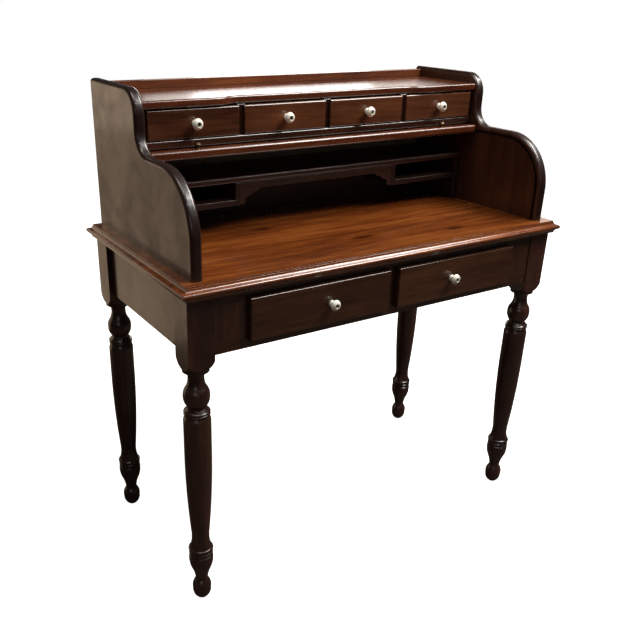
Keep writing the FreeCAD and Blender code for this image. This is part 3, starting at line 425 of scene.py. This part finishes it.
def canvas():
    """Plain woven canvas: threads over and under each other, with slubs."""
    material, tree = new_material("canvas_weave")
    place = object_place(tree)
    parts = add(tree, "SeparateXYZ", None, Vector=place).outputs
    thread = 2 * math.pi / CANVAS_THREAD
    warp = calc(tree, "SINE", calc(tree, "MULTIPLY", parts["X"], thread))
    level = calc(tree, "SUBTRACT", parts["Y"], parts["Z"])
    weft = calc(tree, "SINE", calc(tree, "MULTIPLY", level, thread))
    weave = calc(tree, "MULTIPLY_ADD", calc(tree, "MULTIPLY", warp, weft), 0.5, 0.5)
    slubs = calc(tree, "MULTIPLY", noise(tree, place, 130.0, 3.0, 0.6), 0.5)
    tone = calc(tree, "ADD", calc(tree, "MULTIPLY", weave, 0.6), slubs)
    colour = ramp(tree, tone, (0.2, rgb(0.20, 0.16, 0.11)), (0.9, rgb(0.44, 0.38, 0.28)))
    shader = add(tree, "BsdfPrincipled", None, Base_Color=colour, Roughness=0.92,
                 Sheen_Weight=0.25, Normal=bumpy(tree, weave, 0.6, 0.0003))
    finish_material(tree, shader.outputs[0])
    return material


glaze = porcelain()
steel = aged_metal("screw_metal", rgb(0.045, 0.035, 0.025), rgb(0.30, 0.26, 0.20), 0.32)
bronze = aged_metal("pull_metal", rgb(0.040, 0.026, 0.016), rgb(0.26, 0.17, 0.08), 0.25)
weave = canvas()


# ---------------------------------------------------------------- meshes

def stand_in_for(piece, node):
    """The piece takes a CAD node's place and body, and the node is hidden."""
    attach(piece, body_of_node[node])
    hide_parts(node)


def settle(piece):
    """Apply the piece's modifiers and keep the result as its mesh."""
    bpy.context.view_layer.update()
    evaluated = piece.evaluated_get(bpy.context.evaluated_depsgraph_get())
    mesh = bpy.data.meshes.new_from_object(evaluated)
    piece.modifiers.clear()
    piece.data = mesh


BOARD_EASE = 0.0012         # radius taken off the arrises of a board
FRONT_EASE = 0.0008         # and off those of a drawer front
EASE_STEPS = 3
SHARP_FROM = math.radians(38)
FLAT_WITHIN = math.radians(0.6)
SAME_POINT = 1e-6


def ease(piece, width):
    """Round every sharp edge by a small radius and shade the flats flat."""
    for polygon in piece.data.polygons:
        polygon.use_smooth = True
    bevel = piece.modifiers.new("ease", "BEVEL")
    bevel.width = width
    bevel.segments = EASE_STEPS
    bevel.limit_method = "ANGLE"
    bevel.angle_limit = SHARP_FROM
    bevel.use_clamp_overlap = True
    normals = piece.modifiers.new("normals", "WEIGHTED_NORMAL")
    normals.keep_sharp = True
    settle(piece)


def clean_copy(node):
    """Copy of a CAD node's mesh with its flats as whole faces."""
    mesh = nodes[node].data.copy()
    for name in ("custom_normal", "sharp_face", "sharp_edge"):
        attribute = mesh.attributes.get(name)
        if attribute is not None:
            mesh.attributes.remove(attribute)
    shape = bmesh.new()
    shape.from_mesh(mesh)
    bmesh.ops.remove_doubles(shape, verts=shape.verts, dist=SAME_POINT)
    bmesh.ops.dissolve_limit(shape, angle_limit=FLAT_WITHIN, verts=shape.verts, edges=shape.edges)
    shape.to_mesh(mesh)
    shape.free()
    return mesh


def cover(mesh, material):
    """The mesh takes one material."""
    mesh.materials.clear()
    mesh.materials.append(material)


def ease_node(node, material, width=BOARD_EASE):
    """A CAD board with its arrises taken off, in the CAD node's place."""
    mesh = clean_copy(node)
    cover(mesh, material)
    piece = bpy.data.objects.new(node + "_eased", mesh)
    bpy.context.scene.collection.objects.link(piece)
    ease(piece, width)
    stand_in_for(piece, node)


def dress(node, material):
    """A CAD node keeps its shape and takes a better material."""
    cover(nodes[node].data, material)


# ---------------------------------------------------------------- the desk's pieces

# Boards replaced by copies with eased arrises.
BOARDS = {
    "desk_top": top_wood,
    "apron_left": case_wood["Y"],
    "apron_right": case_wood["Y"],
    "apron_rear": case_wood["X"],
    "drawer_kickers": raw_wood["Y"],
    "drawer_runners": raw_wood["Y"],
    "glue_blocks": raw_wood["X"],
    "back_panel": back_wood["X"],
    "case_dividers": case_wood["Y"],
    "gallery_rail": rail_wood,
    "unit_back": unit_shaded_wood["X"],
    "unit_end_panels": unit_shaded_wood["Y"],
    "unit_hangers": unit_shaded_wood["Y"],
    "unit_low_shelves": unit_shaded_wood["X"],
    "unit_valance": unit_shaded_wood["X"],
}
for node, material in BOARDS.items():
    ease_node(node, material)

# Nodes that keep their CAD mesh.
KEPT = {
    "front_top_rail": case_wood["X"],
    "front_bottom_rail": case_wood["X"],
    "front_stiles": case_wood["Z"],
    "hutch_side_left": side_wood,
    "hutch_side_right": side_wood,
    "top_board": shelf_wood,
    "case_board": case_wood["X"],
    "unit_top_shelf": unit_shaded_wood["X"],
    "tambour_lead_rail": shelf_wood,
    "tambour_slats": case_wood["X"],
    "tambour_tail_slats": back_wood["X"],
    "tambour_canvas": weave,
    "tambour_tail_canvas": weave,
    "tambour_pulls": bronze,
    "top_screws": steel,
}
for node, material in KEPT.items():
    dress(node, material)

for end in ("front", "rear"):
    for side in ("left", "right"):
        dress("leg_" + end + "_" + side, leg_wood)

for drawer in DESK_DRAWERS + SMALL_DRAWERS:
    front_wood = drawer_wood if drawer in DESK_DRAWERS else small_drawer_wood
    ease_node(drawer + "_front", front_wood, FRONT_EASE)
    dress(drawer + "_box", raw_wood["X"])
    dress(drawer + "_knob", glaze)
    dress(drawer + "_screw", steel)
    if drawer in DESK_DRAWERS:
        dress(drawer + "_bottom", raw_wood["X"])


# ---------------------------------------------------------------- camera

CAMERA_PLACE = Vector((-1.0648, -1.4575, 1.2500))
CAMERA_TURN = 0.5611
CAMERA_TILT = -0.4331
CAMERA_ROLL = 0.0183
CAMERA_LENS = 43.55         # millimetres, as the sensor
CAMERA_SENSOR = 36.0
CAMERA_SHIFT = (0.0698, 0.0524)


def make_camera():
    """Standing at the desk's front left corner, looking slightly down."""
    reach = math.cos(CAMERA_TILT)
    ahead = Vector((math.sin(CAMERA_TURN) * reach, math.cos(CAMERA_TURN) * reach,
                    math.sin(CAMERA_TILT)))
    level = Vector((math.cos(CAMERA_TURN), -math.sin(CAMERA_TURN), 0))
    upward = level.cross(ahead)
    right = level * math.cos(CAMERA_ROLL) + upward * math.sin(CAMERA_ROLL)
    top = upward * math.cos(CAMERA_ROLL) - level * math.sin(CAMERA_ROLL)
    camera_data = bpy.data.cameras.new("camera")
    camera_data.lens = CAMERA_LENS
    camera_data.sensor_width = CAMERA_SENSOR
    camera_data.shift_x, camera_data.shift_y = CAMERA_SHIFT
    camera = bpy.data.objects.new("camera", camera_data)
    bpy.context.scene.collection.objects.link(camera)
    turn = Matrix((right, top, -ahead)).transposed().to_4x4()
    camera.matrix_world = Matrix.Translation(CAMERA_PLACE) @ turn
    bpy.context.scene.camera = camera


make_camera()


# ---------------------------------------------------------------- studio

def soft_box(name, place, target, size, power, colour):
    """Rectangular area light that faces a target; size is its width and height, power in watts."""
    data = bpy.data.lights.new(name, "AREA")
    data.shape = "RECTANGLE"
    data.size, data.size_y = size
    data.energy = power
    data.color = colour
    light = bpy.data.objects.new(name, data)
    bpy.context.scene.collection.objects.link(light)
    light.location = place
    light.rotation_euler = (Vector(target) - Vector(place)).to_track_quat("-Z", "Y").to_euler()
    light.visible_camera = False


def floor_material():
    """Matt paper: nearly white to the eye, while it throws little light back on the desk."""
    material, tree = new_material("studio_floor")
    grain = noise(tree, object_place(tree), 1.5, 3.0)
    tone = ramp(tree, grain, (0.3, rgb(0.80, 0.80, 0.79)), (0.7, rgb(0.84, 0.84, 0.83)))
    paper = add(tree, "BsdfPrincipled", None, Base_Color=tone, Roughness=0.9,
                Specular_IOR_Level=0.0, Emission_Color=tone, Emission_Strength=1.2).outputs[0]
    dim = add(tree, "BsdfDiffuse", None, Color=rgb(0.088, 0.062, 0.050)).outputs[0]
    seen = add(tree, "LightPath").outputs["Is Camera Ray"]
    finish_material(tree, add(tree, "MixShader", None, i0=seen, i1=dim, i2=paper).outputs[0])
    return material


FLOOR_REACH = 14.0


def make_floor():
    """Plain floor, far wider than the view."""
    mesh = bpy.data.meshes.new("studio_floor")
    turns = ((-1, -1), (1, -1), (1, 1), (-1, 1))
    corners = [(across * FLOOR_REACH, deep * FLOOR_REACH, 0) for across, deep in turns]
    mesh.from_pydata(corners, [], [(0, 1, 2, 3)])
    mesh.materials.append(floor_material())
    floor = bpy.data.objects.new("studio_floor", mesh)
    bpy.context.scene.collection.objects.link(floor)


WORLD_GLOW = 0.04           # what the world adds to the light on the desk


def make_world():
    """White behind the desk, dim all round it."""
    world = bpy.data.worlds.new("studio")
    bpy.context.scene.world = world
    world.use_nodes = True
    tree = world.node_tree
    tree.nodes.clear()
    seen = add(tree, "LightPath").outputs["Is Camera Ray"]
    strength = calc(tree, "MULTIPLY_ADD", seen, 1.0 - WORLD_GLOW, WORLD_GLOW)
    background = add(tree, "Background", None, Color=rgb(1.0, 1.0, 1.0), Strength=strength)
    add(tree, "OutputWorld", None, Surface=background.outputs[0])


def light_desk():
    """A window high on the right, a thin strip in front and weak light overhead."""
    middle = (0.0, 0.0, 0.8)
    soft_box("window", place=(1.45, -0.75, 3.0), target=middle, size=(1.8, 1.2),
             power=112.0, colour=(1.0, 0.97, 0.93))
    soft_box("strip", place=(0.1, -1.6, 2.8), target=middle, size=(3.2, 0.14),
             power=9.0, colour=(0.90, 0.95, 1.0))
    soft_box("overhead", place=(-0.6, -0.3, 3.2), target=(-0.1, 0.0, 0.8), size=(1.4, 1.2),
             power=22.0, colour=(1.0, 0.95, 0.88))


def light_mirrored_walls():
    """Pale walls and windows behind the desk, for the lacquer to mirror."""
    soft_box("left_rear_wall", place=(-0.98, 1.15, 0.60), target=(-0.45, 0.0, 0.75),
             size=(1.3, 1.15), power=2.2, colour=(1.0, 0.72, 0.48))
    soft_box("left_rear_lamp", place=(-0.90, 1.30, 1.05), target=(-0.45, 0.0, 0.95),
             size=(0.9, 0.5), power=0.7, colour=(1.0, 0.76, 0.55))
    soft_box("right_rear_wall", place=(2.3, 2.9, 1.6), target=(0.0, 0.1, 1.0),
             size=(3.0, 1.0), power=12.0, colour=(1.0, 0.90, 0.82))
    soft_box("right_rear_window", place=(1.90, 3.23, 1.7), target=(0.0, 0.1, 1.0),
             size=(1.2, 1.1), power=14.0, colour=(1.0, 0.97, 0.95))


def make_studio():
    """Floor, world and lights."""
    make_floor()
    make_world()
    light_desk()
    light_mirrored_walls()
    soft_box("front_fill", place=(-2.4, -3.2, 1.9), target=(0.0, 0.0, 0.7), size=(1.6, 1.2),
             power=4.5, colour=(1.0, 0.92, 0.84))


make_studio()
bpy.context.scene.view_settings.view_transform = "Standard"
